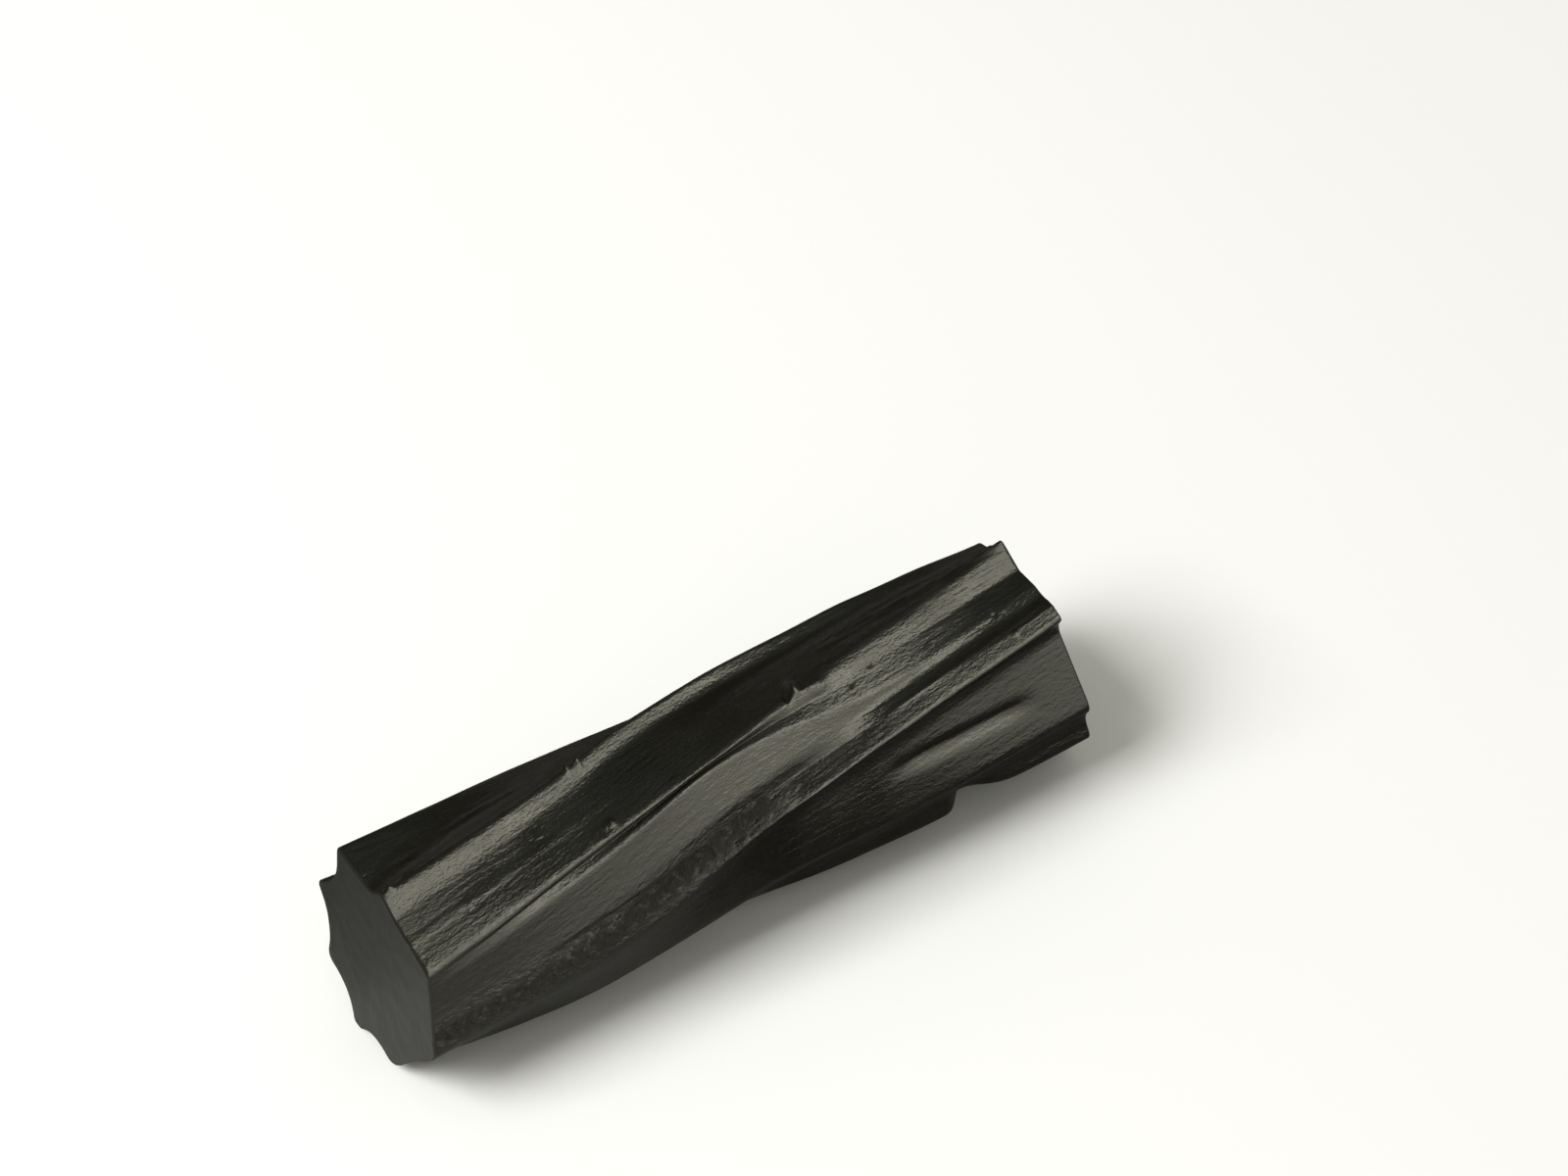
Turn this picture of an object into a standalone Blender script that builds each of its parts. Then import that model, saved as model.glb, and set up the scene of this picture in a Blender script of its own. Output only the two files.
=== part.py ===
"""A piece of soft black licorice: an extruded rope with eight ridges, slowly twisted and cut at both ends.

The rope lies along X on the floor, and its near end, the cut that faces the viewer, is at -X.
Its cross-section is a closed row of corners joined by straight faces: the crest of every ridge, then the
corners of the flute that follows it. Each corner has an angle, a radius and a rounding at five stations
along the rope, so each ridge winds round it in its own way.
"""

import math

import bmesh
import bpy
from mathutils import Vector

MM = 0.001

# The rope
LENGTH = 54.4 * MM
AXIS_HEIGHT = 7.6 * MM  # lower than the ridges are tall, so those underneath are pressed flat by the floor
STATIONS = (0.0, 0.25, 0.5, 0.75, 1.0)  # share of the length, from the near end
DRIFT_BACK = (0.0, 0.24, 0.37, 0.37, 0.33)  # mm that the rope's middle line bows off straight
DRIFT_UP = (0.65, 0.55, 0.46, 0.36, 0.23)

# The two cuts. Each leans by a slope towards the side that shows, and by another round the rope
SHOWN_SIDE = 125.5
NEAR_SLOPES = (0.12, -0.05)
FAR_SLOPES = (-0.12, 0.03)

# Ridges in turn round the rope, each at the stations. Angles go from +Y up towards +Z, seen from the
# far end, in degrees. Crests are the radii of the ridge in mm, and roundness is how far its rounding
# reaches, in mm. The flute that follows a ridge is a row of corners: degrees past the crest, radii, and
# how far the rounding of that corner reaches. Straight faces join all the corners.
RIDGES = {
    "lower": {
        "angles": (192, 178.5, 151.2, 135.3, 121.3),
        "crests": (8.0, 8.15, 8.37, 8.6, 8.95),
        "roundness": (0.7, 0.7, 0.5, 0.5, 0.5),
        "flute": (
            ((12, 8, 0.8, 0.9, 0.7), (7.4, 7.9, 7.3, 7.6, 7.6), 0.3),
            ((29, 20, 10.5, 7.7, 4.7), (7.05, 7.85, 6.95, 6.95, 6.95), 0.5),
        ),
    },
    "foot": {
        "angles": (250, 219, 193, 187, 176),
        "crests": (8.3, 8.6, 7.97, 8.1, 7.9),
        "roundness": (1.2, 1.0, 0.8, 0.8, 0.8),
        "flute": (
            ((11, 13, 13, 11, 9), (7.3, 7.4, 7.3, 7.3, 7.2), 1.2),
            ((23, 33, 35, 21, 19), (7.3, 7.3, 7.3, 7.3, 7.2), 1.2),
        ),
    },
    "base_front": {
        "angles": (284, 265, 241, 217, 204),
        "crests": (9.0, 8.8, 8.8, 8.8, 8.4),
        "roundness": (1.0, 0.9, 0.9, 0.9, 1.0),
        "flute": (
            ((11, 12, 12, 12, 9), (7.2, 7.2, 7.2, 7.2, 7.2), 1.2),
            ((26, 25, 24, 23, 18), (7.1, 7.2, 7.2, 7.2, 7.2), 1.2),
        ),
    },
    "base_back": {
        "angles": (321, 302, 277, 252, 231),
        "crests": (8.1, 8.4, 8.6, 8.6, 8.4),
        "roundness": (1.0, 0.9, 0.9, 0.9, 1.0),
        "flute": (
            ((12, 14, 14, 14, 14), (6.8, 7.0, 7.1, 7.1, 7.1), 1.3),
            ((33, 31, 30, 31, 31), (6.7, 7.0, 7.1, 7.1, 7.1), 1.3),
        ),
    },
    "back": {
        "angles": (366, 346, 320, 296, 275),
        "crests": (8.1, 8.3, 8.3, 8.5, 8.6),
        "roundness": (0.5, 0.6, 0.8, 0.8, 0.8),
        "flute": (
            ((12, 13, 13, 13, 13), (6.9, 7.0, 7.1, 7.1, 7.1), 1.3),
            ((29, 33, 38, 40, 39), (6.9, 7.0, 7.1, 7.2, 7.3), 1.3),
        ),
    },
    "top_back": {
        "angles": (407.5, 392, 372, 350, 328),
        "crests": (8.65, 8.15, 8.1, 8.3, 8.4),
        "roundness": (0.3, 0.5, 0.8, 0.6, 0.6),
        "flute": (((30, 24, 20, 18, 18), (6.3, 6.75, 7.0, 7.1, 7.2), 1.2),),
    },
    "crown": {
        "angles": (449.3, 437.4, 414.5, 405.5, 394),
        "crests": (7.32, 8.0, 8.45, 8.65, 8.2),
        "roundness": (0.5, 0.6, 0.5, 0.3, 0.3),
        "flute": (
            ((14.5, 10.8, 5.2, 8, 10), (6.78, 7.15, 7.31, 7.7, 7.6), 0.5),
            ((39.5, 34.3, 31.4, 18.5, 23), (7.3, 7.5, 7.27, 7.66, 8.0), 0.9),
        ),
    },
    "front": {
        "angles": (500.7, 483.5, 466.4, 444.8, 428.5),
        "crests": (8.15, 8.25, 8.2, 8.12, 8.8),
        "roundness": (0.8, 0.8, 0.7, 0.8, 0.5),
        "flute": (
            ((3, 1.7, 0.5, 12, 12), (7.9, 7.55, 7.66, 7.45, 7.3), 0.03),
            ((8, 6.8, 3.5, 26.3, 28.5), (7.68, 7.88, 7.96, 7.36, 7.74), 0.2),
            ((29.3, 30.2, 24.8, 31.5, 35.5), (7.28, 7.54, 7.47, 7.15, 7.85), 0.4),
            ((41.3, 44.5, 32.9, 39.7, 44.5), (7.45, 7.75, 6.66, 7.80, 8.72), 0.06),
        ),
    },
}

# Small relief that runs along the rope: where it starts and ends as shares of the length, the angles there,
# its height in mm (below 0 for a groove) and half its width in degrees.
LINES = {
    "far_rib": ((0.60, 1.08), (69, 66.5), 0.34, 5.0),
    "patch_groove": ((0.70, 0.95), (159.5, 157.5), -0.60, 8.0),
    "lower_hollow": ((0.14, 0.52), (167, 145.5), -0.40, 6.5),
}
LINE_FADE = 0.08  # share of the length over which such a line comes up

# A bite out of the fin that makes the lower outline, near the far end
NICK_PLACE = 0.806
NICK_DEPTH = 1.2
NICK_REACH = (0.014, 0.045)
NICK_RIDGE = "base_front"
NICK_WIDTH = 17

# Mesh
FACE_COLUMNS = 4  # across a face, from one corner of the cross-section to the next
COLUMNS = FACE_COLUMNS * sum(1 + len(ridge["flute"]) for ridge in RIDGES.values())
RINGS = 57
CROWDING = 0.6  # 0 spreads the columns of a face evenly, nearly 1 crowds them at its two edges

BLACK = (0.0105, 0.0092, 0.0075, 1.0)
ROUGHNESS = 0.34


def along(values, share):
    """A smooth curve through the values at the stations."""
    last = len(STATIONS) - 1
    left = min(int(share * last), last - 1)
    step = STATIONS[1] - STATIONS[0]
    slopes = []
    for k in (left, left + 1):
        before, after = max(k - 1, 0), min(k + 1, last)
        slopes.append((values[after] - values[before]) / (after - before))
    t = (share - STATIONS[left]) / step
    start = (2 * t**3 - 3 * t**2 + 1) * values[left] + (t**3 - 2 * t**2 + t) * slopes[0]
    return start + (3 * t**2 - 2 * t**3) * values[left + 1] + (t**3 - t**2) * slopes[1]


def swell(offset, half_width):
    """A smooth bump, 1 in the middle and 0 outside its half width."""
    if abs(offset) >= half_width:
        return 0.0
    return (0.5 + 0.5 * math.cos(math.pi * offset / half_width)) ** 1.5


def rise(share, start, end):
    """0 outside a stretch of the rope and 1 inside it, with soft ends."""
    up = min(max((share - start) / LINE_FADE, 0.0), 1.0)
    down = min(max((end - share) / LINE_FADE, 0.0), 1.0)
    edge = min(up, down)
    return edge * edge * (3 - 2 * edge)


def apart(angle, other):
    """Degrees from one angle to another, the short way round."""
    return (angle - other + 180) % 360 - 180


def relief(share, angle):
    """Height of the small lines and of the nick, in mm."""
    total = 0.0
    for (start, end), (first, last), height, half_width in LINES.values():
        way = min(max((share - start) / (end - start), 0.0), 1.0)
        middle = first + (last - first) * way
        total += height * rise(share, start, end) * swell(apart(angle, middle), half_width)
    reach = NICK_REACH[0] if share < NICK_PLACE else NICK_REACH[1]
    depth = NICK_DEPTH * math.exp(-(((share - NICK_PLACE) / reach) ** 2))
    crest = along(RIDGES[NICK_RIDGE]["angles"], share)
    return total - depth * swell(apart(angle, crest), NICK_WIDTH)


def corners(share):
    """The corners of the cross-section in turn, as points in mm, and how far the rounding of each reaches."""
    points, reaches = [], []
    for ridge in RIDGES.values():
        angle = along(ridge["angles"], share)
        row = [(angle, along(ridge["crests"], share), along(ridge["roundness"], share))]
        for past, radii, softness in ridge["flute"]:
            row.append((angle + along(past, share), along(radii, share), softness))
        for turn, radius, reach in row:
            level = math.radians(turn)
            points.append(Vector((radius * math.cos(level), radius * math.sin(level))))
            reaches.append(reach)
    return points, reaches


def rounded_point(points, reaches, face, way):
    """A point part of the way across the face that starts at a corner, with both its corners rounded."""
    count = len(points)
    following = (face + 1) % count
    length = (points[following] - points[face]).length
    at_start, at_end = min(reaches[face] / length, 0.48), min(reaches[following] / length, 0.48)
    if at_start <= way <= 1 - at_end:
        return points[face].lerp(points[following], way)
    if way < at_start:
        corner, t = face, 0.5 + 0.5 * way / at_start
    else:
        corner, t = following, 0.5 - 0.5 * (1 - way) / at_end
    tip, previous, following = points[corner], points[corner - 1], points[(corner + 1) % count]
    before = tip.lerp(previous, min(reaches[corner] / (previous - tip).length, 0.48))
    after = tip.lerp(following, min(reaches[corner] / (following - tip).length, 0.48))
    return before * (1 - t) ** 2 + tip * 2 * t * (1 - t) + after * t**2


def crowded(even):
    """How far across a face a column lies: the columns crowd towards its two edges."""
    return even - CROWDING * math.sin(2 * math.pi * even) / (2 * math.pi)


def section(share):
    """Points (y, z) of the cross-section in metres, flattened where the floor presses it."""
    middle_y = along(DRIFT_BACK, share) * MM
    middle_z = AXIS_HEIGHT + along(DRIFT_UP, share) * MM
    points, reaches = corners(share)
    outline = []
    for face in range(len(points)):
        for column in range(FACE_COLUMNS):
            spot = rounded_point(points, reaches, face, crowded(column / FACE_COLUMNS))
            angle = math.atan2(spot.y, spot.x)
            radius = (spot.length + relief(share, math.degrees(angle))) * MM
            y = middle_y + radius * math.cos(angle)
            z = middle_z + radius * math.sin(angle)
            outline.append((y, max(z, 0.0)))
    return outline


def place(share, y, z):
    """The point of a section in space, with the sections leaning evenly from one cut to the other."""
    side = math.radians(SHOWN_SIDE)
    to_viewer = y * math.cos(side) + (z - AXIS_HEIGHT) * math.sin(side)
    across = -y * math.sin(side) + (z - AXIS_HEIGHT) * math.cos(side)
    near = -LENGTH / 2 + NEAR_SLOPES[0] * to_viewer + NEAR_SLOPES[1] * across
    far = LENGTH / 2 + FAR_SLOPES[0] * to_viewer + FAR_SLOPES[1] * across
    return (near + (far - near) * share, y, z)


def licorice_material():
    material = bpy.data.materials.new("licorice")
    material.use_nodes = True
    shader = material.node_tree.nodes["Principled BSDF"]
    shader.inputs["Base Color"].default_value = BLACK
    shader.inputs["Roughness"].default_value = ROUGHNESS
    shader.inputs["Metallic"].default_value = 0.0
    return material


def licorice_piece():
    """A straight bar of rings and columns, with each corner moved to its place on the twisted rope."""
    mesh = bmesh.new()
    bmesh.ops.create_cone(mesh, cap_ends=True, segments=COLUMNS, radius1=1.0, radius2=1.0, depth=1.0)
    sides = [edge for edge in mesh.edges if abs(edge.verts[0].co.z - edge.verts[1].co.z) > 0.5]
    bmesh.ops.subdivide_edges(mesh, edges=sides, cuts=RINGS - 1, use_grid_fill=True)
    sections = [section(ring / RINGS) for ring in range(RINGS + 1)]
    for corner in mesh.verts:
        ring = round((corner.co.z + 0.5) * RINGS)
        column = round(math.atan2(-corner.co.x, corner.co.y) / math.tau * COLUMNS) % COLUMNS
        y, z = sections[ring][column]
        corner.co = place(ring / RINGS, y, z)
    return mesh


def centre_on_floor(mesh):
    """Puts the middle of the piece's box over the origin."""
    xs = [corner.co.x for corner in mesh.verts]
    ys = [corner.co.y for corner in mesh.verts]
    middle = (-(min(xs) + max(xs)) / 2, -(min(ys) + max(ys)) / 2, 0.0)
    bmesh.ops.translate(mesh, vec=middle, verts=mesh.verts)


def main():
    for old in list(bpy.data.objects):
        bpy.data.objects.remove(old, do_unlink=True)
    mesh = licorice_piece()
    centre_on_floor(mesh)
    for face in mesh.faces:
        face.smooth = len(face.verts) == 4
    data = bpy.data.meshes.new("licorice_piece")
    mesh.to_mesh(data)
    mesh.free()
    data.materials.append(licorice_material())
    piece = bpy.data.objects.new("licorice_piece", data)
    bpy.context.scene.collection.objects.link(piece)


main()
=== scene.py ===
"""The looks of one piece of soft black licorice: a ridged, slowly twisted rope, cut off at both ends.

The rope lies along X on the floor, its near cut at -X. The shape repeats the solid's own recipe with many
more rings and columns, and adds what is too fine for it: thin lines, a fold, warts and pits, the grain of
the skin and the waver of a soft extrusion.
"""

import math

import bmesh
import bpy
from mathutils import Matrix, Vector, noise

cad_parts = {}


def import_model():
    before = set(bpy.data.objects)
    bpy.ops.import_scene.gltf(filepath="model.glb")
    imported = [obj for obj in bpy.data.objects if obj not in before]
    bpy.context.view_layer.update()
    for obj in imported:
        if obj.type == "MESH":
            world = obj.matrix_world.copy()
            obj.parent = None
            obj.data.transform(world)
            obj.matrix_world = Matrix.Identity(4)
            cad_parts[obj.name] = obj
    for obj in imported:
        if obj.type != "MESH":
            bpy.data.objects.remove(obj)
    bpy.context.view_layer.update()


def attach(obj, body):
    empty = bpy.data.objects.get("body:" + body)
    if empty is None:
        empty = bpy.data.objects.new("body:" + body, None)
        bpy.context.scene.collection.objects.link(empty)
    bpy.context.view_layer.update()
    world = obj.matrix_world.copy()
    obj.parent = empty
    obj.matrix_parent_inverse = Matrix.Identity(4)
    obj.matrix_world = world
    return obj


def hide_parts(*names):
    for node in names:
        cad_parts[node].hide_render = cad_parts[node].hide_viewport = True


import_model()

MM = 0.001

# The rope
LENGTH = 54.4 * MM
AXIS_HEIGHT = 7.6 * MM
STATIONS = (0.0, 0.25, 0.5, 0.75, 1.0)  # share of the length, from the near end
DRIFT_BACK = (0.0, 0.24, 0.37, 0.37, 0.33)  # mm that the rope's middle line bows off straight
DRIFT_UP = (0.65, 0.55, 0.46, 0.36, 0.23)
MIDDLE = (-0.0451 * MM, 0.2991 * MM)  # of the rope's box, which comes to lie over the origin

# The two cuts. Each leans by a slope towards the side that shows, and by another round the rope.
SHOWN_SIDE = 125.5  # degrees round the rope
NEAR_SLOPES = (0.12, -0.05)
FAR_SLOPES = (-0.12, 0.03)

# Ridges in turn round the rope, each at the stations. Angles go from +Y up towards +Z, seen from the
# far end, in degrees. Crests are the radii of the ridge in mm, and roundness is how far its rounding
# reaches, in mm. The flute that follows a ridge is a row of corners: degrees past the crest, radii, and
# how far the rounding of that corner reaches. Straight faces join all the corners. Columns says how many
# columns of the mesh each face of the ridge has, from the crest on.
RIDGES = {
    "lower": {
        "columns": (6, 8, 30),
        "angles": (192, 178.5, 151.2, 135.3, 121.3),
        "crests": (8.0, 8.15, 8.37, 8.6, 8.95),
        "roundness": (0.7, 0.7, 0.5, 0.5, 0.5),
        "flute": (
            ((12, 8, 0.8, 0.9, 0.7), (7.4, 7.9, 7.3, 7.6, 7.6), 0.3),
            ((29, 20, 10.5, 7.7, 4.7), (7.05, 7.85, 6.95, 6.95, 6.95), 0.5),
        ),
    },
    "foot": {
        "columns": (8, 10, 10),
        "angles": (250, 219, 193, 187, 176),
        "crests": (8.3, 8.6, 7.97, 8.1, 7.9),
        "roundness": (1.2, 1.0, 0.8, 0.8, 0.8),
        "flute": (
            ((11, 13, 13, 11, 9), (7.3, 7.4, 7.3, 7.3, 7.2), 1.2),
            ((23, 33, 35, 21, 19), (7.3, 7.3, 7.3, 7.3, 7.2), 1.2),
        ),
    },
    "base_front": {
        "columns": (8, 8, 10),
        "angles": (284, 265, 241, 217, 204),
        "crests": (9.0, 8.8, 8.8, 8.8, 8.4),
        "roundness": (1.0, 0.9, 0.9, 0.9, 1.0),
        "flute": (
            ((11, 12, 12, 12, 9), (7.2, 7.2, 7.2, 7.2, 7.2), 1.2),
            ((26, 25, 24, 23, 18), (7.1, 7.2, 7.2, 7.2, 7.2), 1.2),
        ),
    },
    "base_back": {
        "columns": (8, 8, 8),
        "angles": (321, 302, 277, 252, 231),
        "crests": (8.1, 8.4, 8.6, 8.6, 8.4),
        "roundness": (1.0, 0.9, 0.9, 0.9, 1.0),
        "flute": (
            ((12, 14, 14, 14, 14), (6.8, 7.0, 7.1, 7.1, 7.1), 1.3),
            ((33, 31, 30, 31, 31), (6.7, 7.0, 7.1, 7.1, 7.1), 1.3),
        ),
    },
    "back": {
        "columns": (8, 10, 12),
        "angles": (366, 346, 320, 296, 275),
        "crests": (8.1, 8.3, 8.3, 8.5, 8.6),
        "roundness": (0.5, 0.6, 0.8, 0.8, 0.8),
        "flute": (
            ((12, 13, 13, 13, 13), (6.9, 7.0, 7.1, 7.1, 7.1), 1.3),
            ((29, 33, 38, 40, 39), (6.9, 7.0, 7.1, 7.2, 7.3), 1.3),
        ),
    },
    "top_back": {
        "columns": (12, 10),
        "angles": (407.5, 392, 372, 350, 328),
        "crests": (8.65, 8.15, 8.1, 8.3, 8.4),
        "roundness": (0.3, 0.5, 0.8, 0.6, 0.6),
        "flute": (((30, 24, 20, 18, 18), (6.3, 6.75, 7.0, 7.1, 7.2), 1.2),),
    },
    "crown": {
        "columns": (8, 14, 12),
        "angles": (449.3, 437.4, 414.5, 405.5, 394),
        "crests": (7.32, 8.0, 8.45, 8.65, 8.2),
        "roundness": (0.5, 0.6, 0.5, 0.3, 0.3),
        "flute": (
            ((14.5, 10.8, 5.2, 8, 10), (6.66, 7.15, 7.31, 7.7, 7.6), 0.5),
            ((39.5, 34.3, 31.4, 18.5, 23), (7.36, 7.5, 7.27, 7.66, 8.0), 0.9),
        ),
    },
    "front": {
        "columns": (6, 8, 12, 10, 14),
        "angles": (500.7, 483.5, 466.4, 444.8, 428.5),
        "crests": (8.15, 8.25, 8.2, 8.12, 8.8),
        "roundness": (0.8, 0.8, 0.7, 0.8, 0.5),
        "flute": (
            ((3, 1.7, 0.5, 12, 12), (7.9, 7.55, 7.66, 7.45, 7.3), 0.03),
            ((8, 6.8, 3.5, 26.3, 28.5), (7.68, 7.88, 7.96, 7.36, 7.74), 0.2),
            ((29.3, 30.2, 24.8, 31.5, 35.5), (7.28, 7.54, 7.47, 7.15, 7.85), 0.4),
            ((41.3, 44.5, 32.9, 39.7, 44.5), (7.45, 7.75, 6.66, 7.80, 8.72), 0.06),
        ),
    },
}
MOST_ROUNDED = 0.48  # the share of a face that the rounding of one of its corners may take

# Small relief that runs along the rope: where it starts and ends as shares of the length, the angles
# there, its height in mm (below 0 for a groove) and half its width in degrees.
LINES = {
    "far_rib": ((0.64, 1.08), (69, 66.5), 0.28, 5.0),
    "far_seam": ((0.73, 1.10), (63, 45), 0.15, 3.0),
    "patch_groove": ((0.68, 0.95), (160.5, 158.5), -0.52, 9.5),
    "lower_hollow": ((0.14, 0.52), (167, 145.5), -0.40, 6.5),
}
LINE_FADE = 0.08  # share of the length over which such a line comes up

# Fine lines that follow a ridge: the ridge, where the line starts and ends, how many degrees past the
# crest it runs, its height in mm and half its width in degrees.
FINE_LINES = {
    "front_streak": ("front", (-0.1, 0.36), -18.0, 0.08, 2.5),
    "top_seam": ("crown", (-0.1, 0.30), -24.0, 0.14, 2.5),
    "streak_above_lower": ("lower", (0.70, 1.1), -11.5, 0.08, 2.0),
    "back_groove": ("back", (-0.1, 0.7), 5.0, -0.12, 2.0),
    "base_back_groove": ("base_back", (0.3, 1.1), -5.0, -0.12, 2.0),
}

# Single spots: share of the length, angle, height in mm, half length in mm and half width in mm
SPOTS = {
    "front_fold": (0.621, 91.0, 0.52, 0.62, 1.3),
    "front_fold_cleft": (0.605, 93.0, -0.30, 0.42, 1.4),
    "front_fold_fan": (0.650, 96.5, 0.22, 1.9, 0.9),
    "lower_blob": (0.430, 149.5, 0.28, 1.5, 0.80),
    "wart_middle": (0.308, 113.5, 0.28, 0.50, 0.50),
    "wart_beside": (0.298, 114.0, 0.16, 0.35, 0.35),
    "wart_left": (0.093, 118.0, 0.12, 0.35, 0.30),
    "wart_high": (0.220, 101.0, 0.12, 0.40, 0.30),
    "tick_one": (0.302, 71.5, 0.30, 0.42, 1.1),
    "tick_two": (0.320, 70.5, 0.30, 0.48, 1.2),
    "near_blob": (0.014, 88.0, 0.28, 0.55, 0.50),
    "near_glint": (0.047, 83.0, 0.26, 0.75, 0.50),
    "pit_one": (0.856, 82.0, -0.16, 0.36, 0.36),
    "pit_two": (0.734, 96.5, -0.14, 0.30, 0.30),
    "pit_three": (0.697, 101.5, -0.18, 0.50, 0.32),
    "pit_four": (0.925, 102.0, -0.14, 0.34, 0.34),
    "far_wart": (0.932, 117.5, 0.16, 0.30, 0.35),
}
SWELL_POWER = 1.5  # above 1, lines and spots stand on a narrower foot

# A bite out of the fin that makes the lower outline, near the far end: its place as a share of the
# length, its depth in mm, how far it reaches to either side as shares of the length, the ridge of the
# fin, and half the bite's width in degrees
NICK_PLACE = 0.806
NICK_DEPTH = 1.2
NICK_REACH = (0.014, 0.045)
NICK_RIDGE = "base_front"
NICK_WIDTH = 17

# How a soft extrusion wavers: how far a crest strays in mm, how far it turns in degrees, and how many
# waves there are along the rope
CREST_STRAY = 0.07
TURN_STRAY = 0.5
WAVES = 9
STRAY_GAIN = 1.6  # brings the noise to between about -1 and 1
STRAY_STEP = 7.31  # from the waver of one ridge to that of the next, in the noise
STRAY_LEVEL = 2.7
CREST_ROW = 20  # the crests stray by other wavers than the turns

# Low swellings of the skin, and the grains of its coarse patch: height, length and width in mm
SWELLING = (0.010, 3.0, 1.5)
GRAINS = (0.09, 0.9, 0.6)

# The coarse patch above the lower ridge: where it starts and ends as shares of the length, and at the
# near and the far cut the degrees past the crest that its middle runs, and half its width in degrees
PATCH_REACH = (-0.15, 0.58)
PATCH_PAST = (-11, -7)
PATCH_WIDTH = (10, 6)

# Mesh
FACE_COLUMNS = [count for ridge in RIDGES.values() for count in ridge["columns"]]
COLUMNS = sum(FACE_COLUMNS)
RINGS = 338
CROWDING = 0.6  # 0 spreads the columns of a face evenly, nearly 1 crowds them at its two edges
EDGE_ROUNDING = 0.14  # mm that the rim of a cut is rounded back
CUT_SHARES = (0.993, 0.984, 0.972, 0.95, 0.92)  # share of the radius of the first rings inside the rim
CUT_RINGS = 17  # further rings, down to the middle
CUT_CORE = 0.04
CUT_SWELLING = (0.035, 1.3)  # bumps of the cut faces: height and width in mm
CUT_LEVEL = 5.0  # how far up or down in the noise a cut's bumps are read, so that the two cuts differ
CUT_BUMP_RISE = 8  # the bumps are full at an eighth of the radius from the rim


def between(pair, way):
    """The value part of the way from the first of a pair to the second."""
    return pair[0] + (pair[1] - pair[0]) * way


def along(values, share):
    """A smooth curve through the values at the stations."""
    last = len(STATIONS) - 1
    left = min(int(share * last), last - 1)
    step = STATIONS[1] - STATIONS[0]
    slopes = []
    for k in (left, left + 1):
        before, after = max(k - 1, 0), min(k + 1, last)
        slopes.append((values[after] - values[before]) / (after - before))
    t = (share - STATIONS[left]) / step
    start = (2 * t**3 - 3 * t**2 + 1) * values[left] + (t**3 - 2 * t**2 + t) * slopes[0]
    return start + (3 * t**2 - 2 * t**3) * values[left + 1] + (t**3 - t**2) * slopes[1]


def polar(radius, degrees):
    """The two coordinates of the point at a radius and an angle."""
    turn = math.radians(degrees)
    return radius * math.cos(turn), radius * math.sin(turn)


def apart(angle, other):
    """Degrees from one angle to another, the short way round."""
    return (angle - other + 180) % 360 - 180


def swell(offset, half_width):
    """A smooth bump, 1 in the middle and 0 outside its half width."""
    if abs(offset) >= half_width:
        return 0.0
    return (0.5 + 0.5 * math.cos(math.pi * offset / half_width)) ** SWELL_POWER


def rise(share, start, end):
    """0 outside a stretch of the rope and 1 inside it, with soft ends."""
    up = min(max((share - start) / LINE_FADE, 0.0), 1.0)
    down = min(max((end - share) / LINE_FADE, 0.0), 1.0)
    edge = min(up, down)
    return edge * edge * (3 - 2 * edge)


def stray(share, number):
    """A slow random waver along the rope, between about -1 and 1."""
    return STRAY_GAIN * noise.noise(Vector((share * WAVES, number * STRAY_STEP, STRAY_LEVEL)))


def skin_noise(spot, waver):
    """Height in mm, at a spot of the untwisted rope, of a waver given by its height, length and width."""
    height, length, width = waver
    return height * noise.noise(Vector((spot.x / length, spot.y / width, spot.z / width)))


def coarseness(share, angle):
    """0 where the skin is smooth and 1 in the grainy patch above the lower ridge."""
    middle = along(RIDGES["lower"]["angles"], share) + between(PATCH_PAST, share)
    off_middle = apart(angle, middle) / between(PATCH_WIDTH, share)
    return math.exp(-(off_middle**2)) * rise(share, *PATCH_REACH)


def line_relief(share, angle):
    """Height of the lines with their own course, less the depth of the nick, in mm."""
    total = 0.0
    for (start, end), angles, height, half_width in LINES.values():
        middle = between(angles, min(max((share - start) / (end - start), 0.0), 1.0))
        total += height * rise(share, start, end) * swell(apart(angle, middle), half_width)
    reach = NICK_REACH[0] if share < NICK_PLACE else NICK_REACH[1]
    depth = NICK_DEPTH * math.exp(-(((share - NICK_PLACE) / reach) ** 2))
    crest = along(RIDGES[NICK_RIDGE]["angles"], share)
    return total - depth * swell(apart(angle, crest), NICK_WIDTH)


def fine_relief(share, angle, radius):
    """Height of the fine lines and the spots, in mm."""
    total = 0.0
    for ridge, (start, end), past, height, half_width in FINE_LINES.values():
        strength = rise(share, start, end)
        if strength:
            middle = along(RIDGES[ridge]["angles"], share) + past
            total += height * strength * swell(apart(angle, middle), half_width)
    for place_along, place_round, height, half_length, half_width in SPOTS.values():
        off_x = (share - place_along) * LENGTH / MM
        off_round = math.radians(apart(angle, place_round)) * radius
        if abs(off_x) < half_length and abs(off_round) < half_width:
            total += height * swell(off_x, half_length) * swell(off_round, half_width)
    return total


def corners(share):
    """The corners of the cross-section in turn, as points in mm, and the reach of each one's rounding."""
    points, reaches = [], []
    for number, ridge in enumerate(RIDGES.values()):
        angle = along(ridge["angles"], share) + TURN_STRAY * stray(share, number)
        crest = along(ridge["crests"], share) + CREST_STRAY * stray(share, number + CREST_ROW)
        row = [(angle, crest, along(ridge["roundness"], share))]
        for past, radii, softness in ridge["flute"]:
            row.append((angle + along(past, share), along(radii, share), softness))
        for turn, radius, reach in row:
            points.append(Vector(polar(radius, turn)))
            reaches.append(reach)
    return points, reaches


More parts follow.
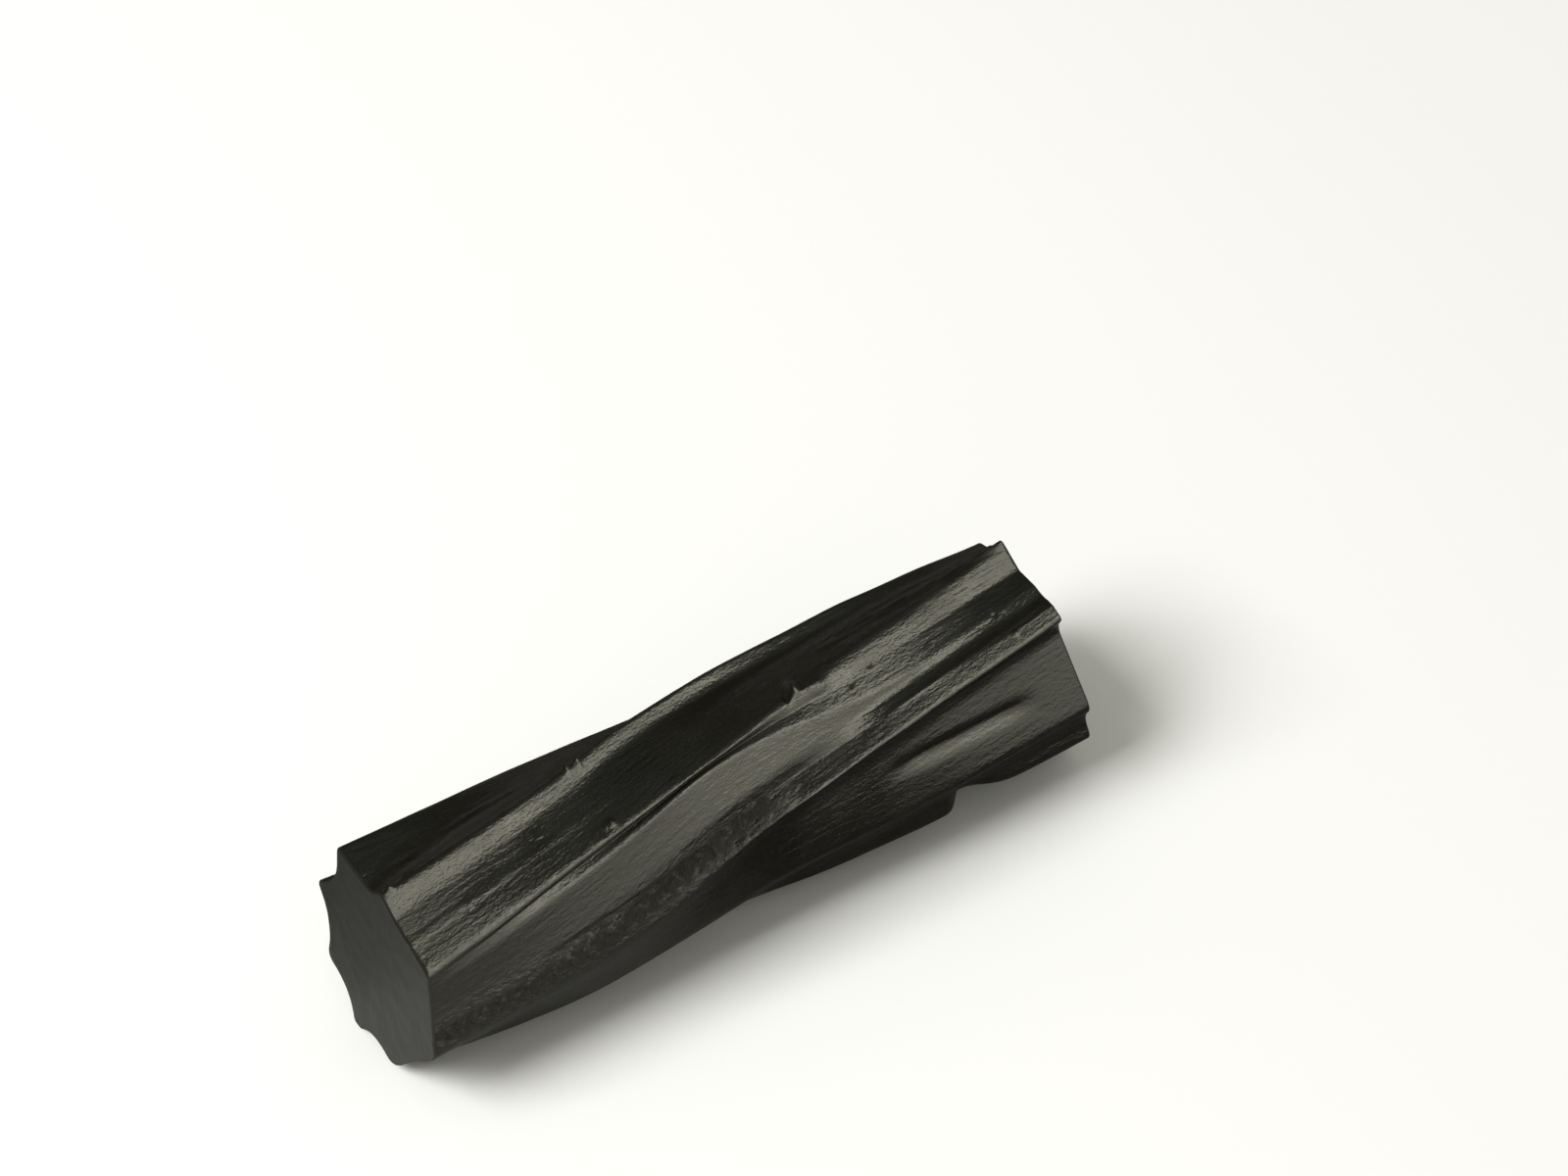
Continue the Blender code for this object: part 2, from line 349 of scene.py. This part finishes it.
def rounded_share(points, reaches, corner, other):
    """How much of the face from a corner to a neighbour the rounding of that corner takes."""
    return min(reaches[corner] / (points[other] - points[corner]).length, MOST_ROUNDED)


def rounded_point(points, reaches, face, way):
    """A point part of the way across the face that starts at a corner, with both its corners rounded."""
    count = len(points)
    following = (face + 1) % count
    at_start = rounded_share(points, reaches, face, following)
    at_end = rounded_share(points, reaches, following, face)
    if at_start <= way <= 1 - at_end:
        return points[face].lerp(points[following], way)
    if way < at_start:
        corner, t = face, 0.5 + 0.5 * way / at_start
    else:
        corner, t = following, 0.5 - 0.5 * (1 - way) / at_end
    previous, following = corner - 1, (corner + 1) % count
    tip = points[corner]
    before = tip.lerp(points[previous], rounded_share(points, reaches, corner, previous))
    after = tip.lerp(points[following], rounded_share(points, reaches, corner, following))
    return before * (1 - t) ** 2 + tip * 2 * t * (1 - t) + after * t**2


def crowded(even):
    """How far across a face a column lies: the columns crowd towards its two edges."""
    return even - CROWDING * math.sin(2 * math.pi * even) / (2 * math.pi)


def rope_middle(share):
    """Y and Z of the rope's middle line, in metres."""
    return along(DRIFT_BACK, share) * MM, AXIS_HEIGHT + along(DRIFT_UP, share) * MM


def section(share):
    """Per column of the cross-section: y and z in metres, the angle in degrees and the radius in mm."""
    middle_y, middle_z = rope_middle(share)
    twist = along(RIDGES["crown"]["angles"], share)
    points, reaches = corners(share)
    columns = []
    for face, count in enumerate(FACE_COLUMNS):
        for column in range(count):
            outline = rounded_point(points, reaches, face, crowded(column / count))
            angle = math.degrees(math.atan2(outline.y, outline.x))
            radius = outline.length
            radius += line_relief(share, angle) + fine_relief(share, angle, radius)
            spot = Vector((share * LENGTH / MM, *polar(radius, angle - twist)))
            radius += coarseness(share, angle) * skin_noise(spot, GRAINS) + skin_noise(spot, SWELLING)
            off_y, off_z = polar(radius * MM, angle)
            columns.append((middle_y + off_y, max(middle_z + off_z, 0.0), angle, radius))
    return columns


def place(share, y, z):
    """The point of a section in space, with the sections leaning evenly from one cut to the other."""
    side = math.radians(SHOWN_SIDE)
    to_viewer = y * math.cos(side) + (z - AXIS_HEIGHT) * math.sin(side)
    across = -y * math.sin(side) + (z - AXIS_HEIGHT) * math.cos(side)
    near = -LENGTH / 2 + NEAR_SLOPES[0] * to_viewer + NEAR_SLOPES[1] * across
    far = LENGTH / 2 + FAR_SLOPES[0] * to_viewer + FAR_SLOPES[1] * across
    return Vector((near + (far - near) * share - MIDDLE[0], y - MIDDLE[1], z))


def cut_rings():
    """Shares of the radius at which a cut face has its rings, from the rim in."""
    last = CUT_SHARES[-1]
    inner = [last + (CUT_CORE - last) * (k + 1) / CUT_RINGS for k in range(CUT_RINGS)]
    return list(CUT_SHARES) + inner


def straight_bar():
    """A bar of rings and columns along Z, 1 in radius and in length, with rings in both end faces."""
    mesh = bmesh.new()
    bmesh.ops.create_cone(mesh, cap_ends=True, segments=COLUMNS, radius1=1.0, radius2=1.0, depth=1.0)
    sides = [edge for edge in mesh.edges if abs(edge.verts[0].co.z - edge.verts[1].co.z) > 0.5]
    bmesh.ops.subdivide_edges(mesh, edges=sides, cuts=RINGS - 1, use_grid_fill=True)
    for end in [face for face in mesh.faces if len(face.verts) == COLUMNS]:
        reached = 1.0
        for share in cut_rings():
            bmesh.ops.inset_region(mesh, faces=[end], thickness=reached - share, use_even_offset=True)
            reached = share
        bmesh.ops.poke(mesh, faces=[end])
    mesh.normal_update()
    return mesh


def cut_relief(y, z, end):
    """How far a cut face stands proud of its plane, in metres."""
    height, width = CUT_SWELLING
    return height * MM * noise.noise(Vector((y / MM / width, z / MM / width, CUT_LEVEL * end)))


def bend(mesh):
    """Moves each vertex of the straight bar to its place on the rope, and notes what the skin needs."""
    untwisted = mesh.verts.layers.float_vector.new("untwisted")
    coarse = mesh.verts.layers.float.new("coarse")
    sections = [section(ring / RINGS) for ring in range(RINGS + 1)]
    for vertex in mesh.verts:
        ring = round((vertex.co.z + 0.5) * RINGS)
        share = ring / RINGS
        reach = min(math.hypot(vertex.co.x, vertex.co.y), 1.0)
        column = round(math.atan2(-vertex.co.x, vertex.co.y) / math.tau * COLUMNS) % COLUMNS
        y, z, angle, radius = sections[ring][column]
        twist = along(RIDGES["crown"]["angles"], share)
        vertex[untwisted] = (share * LENGTH, *polar(radius * reach * MM, angle - twist))
        vertex[coarse] = coarseness(share, angle)
        middle_y, middle_z = rope_middle(share)
        y = middle_y + (y - middle_y) * reach
        z = middle_z + (z - middle_z) * reach
        spot = place(share, y, z)
        end = -1 if ring == 0 else 1 if ring == RINGS else 0
        if end:
            near_rim = max(0.0, (reach - CUT_SHARES[1]) / (1 - CUT_SHARES[1]))
            bumps = cut_relief(y, z, end) * min(1.0, (1 - reach) * CUT_BUMP_RISE)
            spot.x += end * (bumps - EDGE_ROUNDING * MM * near_rim**2)
        vertex.co = spot


def mesh_object(name, mesh, *finishes):
    """An object in the scene, made of a mesh and its materials."""
    data = bpy.data.meshes.new(name)
    mesh.to_mesh(data)
    mesh.free()
    for finish in finishes:
        data.materials.append(finish)
    made = bpy.data.objects.new(name, data)
    bpy.context.scene.collection.objects.link(made)
    return made


def licorice_piece(skin_finish, cut_finish):
    """The whole piece, with one finish on its skin and another on both cuts."""
    mesh = straight_bar()
    for face in mesh.faces:
        face.smooth = True
        is_cut = abs(face.normal.z) > 0.5
        face.material_index = 1 if is_cut else 0
    bend(mesh)
    return mesh_object("licorice_piece_detailed", mesh, skin_finish, cut_finish)


# Materials. Sizes are those of the grains or streaks, and heights are those of their bumps.

SKIN_DARKEST = (0.0044, 0.0040, 0.0024, 1.0)
SKIN_BROWNEST = (0.0074, 0.0060, 0.0036, 1.0)
SKIN_SHEEN = (1.0, 0.985, 0.86, 1.0)  # what the skin mirrors takes on a little of its brown
SKIN_IOR = 1.48
SKIN_ROUGHNESS = (0.28, 0.42)
BLOTCH_SIZE = 4.0 * MM
BLOTCH_SPREAD = (0.3, 0.7)
STREAK_SIZE = 0.35 * MM
STREAK_STRETCH = (0.12, 1.0, 1.0)
STREAK_HEIGHT = 0.05 * MM
CLOUD_DETAIL = 3.0
GRAIN_STRETCH = (0.55, 1.0, 1.0)
GRAIN_DETAIL = 2.0
GRAIN_ROUGHNESS = 0.55
PEBBLE_SIZE = 0.38 * MM
PEBBLE_HEIGHT = 0.10 * MM
PEBBLES_SMOOTH = 0.4  # strength of the pebbles on smooth skin, and how much the coarse patch adds
PEBBLES_COARSE = 6.0
SPECKLE_SIZE = 0.16 * MM
SPECKLE_HEIGHT = 0.035 * MM
MOTTLE_SIZE = 0.7 * MM  # the dull mottles of the coarse patch
MOTTLE_SPREAD = (0.33, 0.52)
MOTTLE_STRENGTH = (0.25, 1.0)
MOTTLE_DULLNESS = 0.75
CUT_COLOUR = (0.0095, 0.0095, 0.0067, 1.0)
CUT_ROUGHNESS = 0.55
CUT_SPECULAR = 0.35
CUT_PEBBLE_SIZE = 0.5 * MM
CUT_PEBBLE_HEIGHT = 0.02 * MM
FLOOR_COLOUR = (0.86, 0.86, 0.845, 1.0)
FLOOR_ROUGHNESS = 0.75


def new_material(name):
    """A material, its node tree and its shader."""
    material = bpy.data.materials.new(name)
    material.use_nodes = True
    tree = material.node_tree
    return material, tree, tree.nodes["Principled BSDF"]


def feed(tree, socket, value):
    """Gives an input socket a value, or a wire from another node's output."""
    if isinstance(value, bpy.types.NodeSocket):
        tree.links.new(value, socket)
    else:
        socket.default_value = value


def node(tree, kind, sockets, **properties):
    """A shader node with its properties set and its input sockets fed, by name or number."""
    made = tree.nodes.new(kind)
    for name, value in properties.items():
        setattr(made, name, value)
    for name, value in sockets.items():
        feed(tree, made.inputs[name], value)
    return made


def result_of(tree, operation, *values):
    """The result of a calculation with numbers or other nodes' outputs."""
    return node(tree, "ShaderNodeMath", dict(enumerate(values)), operation=operation).outputs[0]


def stretched(tree, vector, factors):
    """Coordinates with each direction multiplied by its own factor."""
    return node(tree, "ShaderNodeVectorMath", {0: vector, 1: factors}, operation="MULTIPLY").outputs[0]


def cloudy(tree, vector, size):
    """A soft random pattern whose spots are about a size in metres."""
    sockets = {"Vector": vector, "Scale": 1 / size, "Detail": CLOUD_DETAIL}
    return node(tree, "ShaderNodeTexNoise", sockets).outputs["Fac"]


def remapped(tree, value, old, new):
    """A value moved from an old range to a new one, and held inside it."""
    sockets = {"Value": value, "From Min": old[0], "From Max": old[1], "To Min": new[0], "To Max": new[1]}
    return node(tree, "ShaderNodeMapRange", sockets).outputs["Result"]


def mixed(tree, factor, first, second):
    """A colour between two others."""
    sockets = {"Factor": factor, "A": first, "B": second}
    return node(tree, "ShaderNodeMix", sockets, data_type="RGBA").outputs["Result"]


def bumped(tree, relief, height, normal=None):
    """The normal over a relief of a height in metres, laid over another normal where there is one."""
    sockets = {"Strength": 1.0, "Distance": height, "Height": relief}
    if normal is not None:
        sockets["Normal"] = normal
    return node(tree, "ShaderNodeBump", sockets).outputs["Normal"]


def grain_group():
    """Height of a pebbled skin: small rounded grains, a little longer along the rope than round it."""
    group = bpy.data.node_groups.new("pebbled grain", "ShaderNodeTree")
    for name, way, kind in (
        ("Vector", "INPUT", "NodeSocketVector"),
        ("Grain Size", "INPUT", "NodeSocketFloat"),
        ("Amount", "INPUT", "NodeSocketFloat"),
        ("Height", "OUTPUT", "NodeSocketFloat"),
    ):
        group.interface.new_socket(name, in_out=way, socket_type=kind)
    given = group.nodes.new("NodeGroupInput").outputs
    sockets = {
        "Vector": stretched(group, given["Vector"], GRAIN_STRETCH),
        "Scale": result_of(group, "DIVIDE", 1.0, given["Grain Size"]),
        "Detail": GRAIN_DETAIL,
        "Roughness": GRAIN_ROUGHNESS,
    }
    grains = node(group, "ShaderNodeTexNoise", sockets).outputs["Fac"]
    end = group.nodes.new("NodeGroupOutput")
    feed(group, end.inputs["Height"], result_of(group, "MULTIPLY", grains, given["Amount"]))
    return group


def pebbled(tree, group, vector, size, amount):
    """The relief of the grain group, for grains of a size in metres."""
    sockets = {"Vector": vector, "Grain Size": size, "Amount": amount}
    return node(tree, "ShaderNodeGroup", sockets, node_tree=group).outputs["Height"]


def skin_material(grain):
    """Glossy extruded skin: near-black and a little brown, streaked along the rope, grainy in places."""
    material, tree, shader = new_material("licorice skin")
    rope = node(tree, "ShaderNodeAttribute", {}, attribute_name="untwisted").outputs["Vector"]
    coarse = node(tree, "ShaderNodeAttribute", {}, attribute_name="coarse").outputs["Fac"]

    streaks = cloudy(tree, stretched(tree, rope, STREAK_STRETCH), STREAK_SIZE)
    amount = result_of(tree, "MULTIPLY_ADD", coarse, PEBBLES_COARSE, PEBBLES_SMOOTH)
    pebbles = pebbled(tree, grain, rope, PEBBLE_SIZE, amount)
    speckles = pebbled(tree, grain, rope, SPECKLE_SIZE, 1.0)
    normal = bumped(tree, streaks, STREAK_HEIGHT)
    normal = bumped(tree, pebbles, PEBBLE_HEIGHT, normal)
    feed(tree, shader.inputs["Normal"], bumped(tree, speckles, SPECKLE_HEIGHT, normal))

    blotches = cloudy(tree, rope, BLOTCH_SIZE)
    feed(tree, shader.inputs["Base Color"], mixed(tree, blotches, SKIN_DARKEST, SKIN_BROWNEST))

    roughness = remapped(tree, blotches, BLOTCH_SPREAD, SKIN_ROUGHNESS)
    mottles = remapped(tree, cloudy(tree, rope, MOTTLE_SIZE), MOTTLE_SPREAD, MOTTLE_STRENGTH)
    dull = result_of(tree, "MULTIPLY", mottles, coarse)
    dullness = result_of(tree, "MULTIPLY_ADD", dull, MOTTLE_DULLNESS, roughness)
    feed(tree, shader.inputs["Roughness"], dullness)
    shader.inputs["IOR"].default_value = SKIN_IOR
    shader.inputs["Specular Tint"].default_value = SKIN_SHEEN
    return material


def cut_material(grain):
    """Dull cut face: dark grey-olive, with small bumps."""
    material, tree, shader = new_material("licorice cut")
    on_piece = node(tree, "ShaderNodeTexCoord", {}).outputs["Object"]
    pebbles = pebbled(tree, grain, on_piece, CUT_PEBBLE_SIZE, 1.0)
    feed(tree, shader.inputs["Normal"], bumped(tree, pebbles, CUT_PEBBLE_HEIGHT))
    shader.inputs["Base Color"].default_value = CUT_COLOUR
    shader.inputs["Roughness"].default_value = CUT_ROUGHNESS
    shader.inputs["Specular IOR Level"].default_value = CUT_SPECULAR
    return material


def floor_material():
    """Pale and quite dull, with no reflections of its own."""
    material, _, shader = new_material("pale floor")
    shader.inputs["Base Color"].default_value = FLOOR_COLOUR
    shader.inputs["Roughness"].default_value = FLOOR_ROUGHNESS
    shader.inputs["Specular IOR Level"].default_value = 0.0
    return material


# Stage

CAMERA_PLACE = (-98.916 * MM, -164.605 * MM, 247.080 * MM)
CAMERA_AZIMUTH = -32.476
CAMERA_ELEVATION = 48.484
CAMERA_LENS = 100.384
SENSOR_WIDTH = 36.0
CAMERA_SEES = (1 * MM, 10.0)  # the nearest and the farthest that it sees, in metres
FLOOR_HALF = 0.6
FLOOR_DROP = 0.02 * MM  # keeps the floor just clear of the piece
WARM = (1.0, 0.99, 0.93)
TEAL = (0.74, 1.0, 1.10)
AMBIENT = (0.44, 0.435, 0.39, 1)
AMBIENT_MIRRORED = (0.022, 0.023, 0.022, 1)

# Lamps that the piece mirrors and that don't light the floor: the direction to them, their sides in
# metres, their brightness and their colour
LAMP_DISTANCE = 0.6
LAMPS = {
    "strip box": ((0.356, -0.231, 0.907), (0.8, 0.22), 7.7, WARM),
    "front box": ((0.356, -0.600, 0.715), (0.8, 0.36), 2.5, WARM),
    "low box": ((0.356, -0.888, 0.289), (0.8, 0.31), 2.0, WARM),
    "back box": ((0.356, 0.540, 0.763), (0.8, 0.10), 0.6, TEAL),
}
FLOOR_LIGHT_PLACE = Vector((-0.64, 0.10, 0.76)) * 0.8
FLOOR_LIGHT_SIZE = (0.42, 0.42)
FLOOR_LIGHT_BRIGHTNESS = 12.6

# Cards that only reflections see, which paint reflections: their sides and middle in metres, whether they
# stand upright, and their tone. The dark back card and the upright middle and side cards paint dark
# reflections of neighbouring pieces that are not in the scene. The front shadow card paints the floor's
# shadow in front of the piece into reflections, and the pale left card paints a dimmer floor behind the
# near cut. One that fades is pale at -X, and reaches its own tone between two places along X.
CARD_LIFT = 0.1 * MM
DARK_TONE = 0.03
PALE_TONE = 0.35
CARDS = {
    "back card": ((0.3, 0.12), (0.0, 0.072, CARD_LIFT), False, DARK_TONE),
    "left card": ((0.030, 0.040), (-0.045, 0.024, CARD_LIFT), False, PALE_TONE),
    "front shadow card": ((0.088, 0.035), (0.014, -0.0225, CARD_LIFT), False, DARK_TONE),
    "middle card": ((0.018, 0.012), (0.010, -0.022, 0.006), True, DARK_TONE),
    "side card": ((0.07, 0.007), (0.033, -0.022, 0.0035), True, DARK_TONE),
}
# The fade is a painted shadow edge in reflections: the floor's shadow grows paler towards the near end.
FADES = {"front shadow card": (-0.024, 0.004)}


def direction(azimuth, elevation):
    """From the piece towards a viewer: azimuth 0 is at -Y, 90 at +X."""
    turn, up = math.radians(azimuth), math.radians(elevation)
    return Vector((math.sin(turn) * math.cos(up), -math.cos(turn) * math.cos(up), math.sin(up)))


def camera():
    data = bpy.data.cameras.new("camera")
    data.lens = CAMERA_LENS
    data.sensor_width = SENSOR_WIDTH
    data.sensor_fit = "HORIZONTAL"
    data.clip_start, data.clip_end = CAMERA_SEES
    made = bpy.data.objects.new("camera", data)
    made.location = CAMERA_PLACE
    towards_viewer = direction(CAMERA_AZIMUTH, CAMERA_ELEVATION)
    made.rotation_euler = towards_viewer.to_track_quat("Z", "Y").to_euler()
    bpy.context.scene.collection.objects.link(made)
    bpy.context.scene.camera = made


def softbox(name, away, size, brightness, mirrored=True, lights_floor=True, colour=(1, 1, 1)):
    """A flat lamp that faces the piece, its first side level. Brightness 1 is that of white paper."""
    data = bpy.data.lights.new(name, "AREA")
    data.shape = "RECTANGLE"
    data.size, data.size_y = size
    data.energy = brightness * math.pi * size[0] * size[1]
    data.color = colour
    made = bpy.data.objects.new(name, data)
    back = away.normalized()
    side = (Vector((1, 0, 0)) - back * back.x).normalized()
    turned = Matrix((side, back.cross(side), back)).transposed().to_4x4()
    made.matrix_world = Matrix.Translation(away) @ turned
    made.visible_camera = False
    made.visible_glossy = mirrored
    made.visible_diffuse = lights_floor
    bpy.context.scene.collection.objects.link(made)


def lights():
    for name, (towards, size, brightness, colour) in LAMPS.items():
        away = Vector(towards) * LAMP_DISTANCE
        softbox(name, away, size, brightness, lights_floor=False, colour=colour)
    softbox("floor light", FLOOR_LIGHT_PLACE, FLOOR_LIGHT_SIZE, FLOOR_LIGHT_BRIGHTNESS, mirrored=False)


def floor():
    mesh = bmesh.new()
    bmesh.ops.create_grid(mesh, x_segments=1, y_segments=1, size=FLOOR_HALF)
    bmesh.ops.translate(mesh, vec=(0, 0, -FLOOR_DROP), verts=mesh.verts)
    return mesh_object("floor", mesh, floor_material())


def card_material(name, tone, fade):
    """A card's plain tone, which paints a reflection, or a painted shadow edge that the card reaches from
    pale between two places along X.
    """
    material, tree, shader = new_material(name)
    shader.inputs["Base Color"].default_value = (tone, tone, tone, 1)
    if fade:
        where = node(tree, "ShaderNodeTexCoord", {}).outputs["Object"]
        split = node(tree, "ShaderNodeSeparateXYZ", {"Vector": where})
        shade = remapped(tree, split.outputs["X"], fade, (PALE_TONE, tone))
        feed(tree, shader.inputs["Base Color"], shade)
    return material


def card(name, size, middle, upright, tone):
    mesh = bmesh.new()
    bmesh.ops.create_grid(mesh, x_segments=1, y_segments=1, size=0.5)
    bmesh.ops.scale(mesh, vec=(*size, 1), verts=mesh.verts)
    if upright:
        bmesh.ops.rotate(mesh, matrix=Matrix.Rotation(math.radians(90), 3, "X"), verts=mesh.verts)
    bmesh.ops.translate(mesh, vec=middle, verts=mesh.verts)
    made = mesh_object(name, mesh, card_material(name, tone, FADES.get(name)))
    # Seen only in reflections: the card's tone is a painted reflection, not a thing in the scene.
    made.visible_camera = made.visible_diffuse = made.visible_shadow = False


def world():
    """Even light from all sides for the floor and the piece, but dark in reflections."""
    made = bpy.data.worlds.new("studio")
    made.use_nodes = True
    tree = made.node_tree
    back = tree.nodes["Background"]
    back.inputs["Strength"].default_value = 1.0
    mirrored = node(tree, "ShaderNodeLightPath", {}).outputs["Is Glossy Ray"]
    feed(tree, back.inputs["Color"], mixed(tree, mirrored, AMBIENT, AMBIENT_MIRRORED))
    bpy.context.scene.world = made


def main():
    grain = grain_group()
    piece = licorice_piece(skin_material(grain), cut_material(grain))
    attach(piece, "root")
    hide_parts("licorice_piece")
    floor()
    for name, facts in CARDS.items():
        card(name, *facts)
    camera()
    lights()
    world()
    bpy.context.scene.view_settings.view_transform = "Standard"


main()
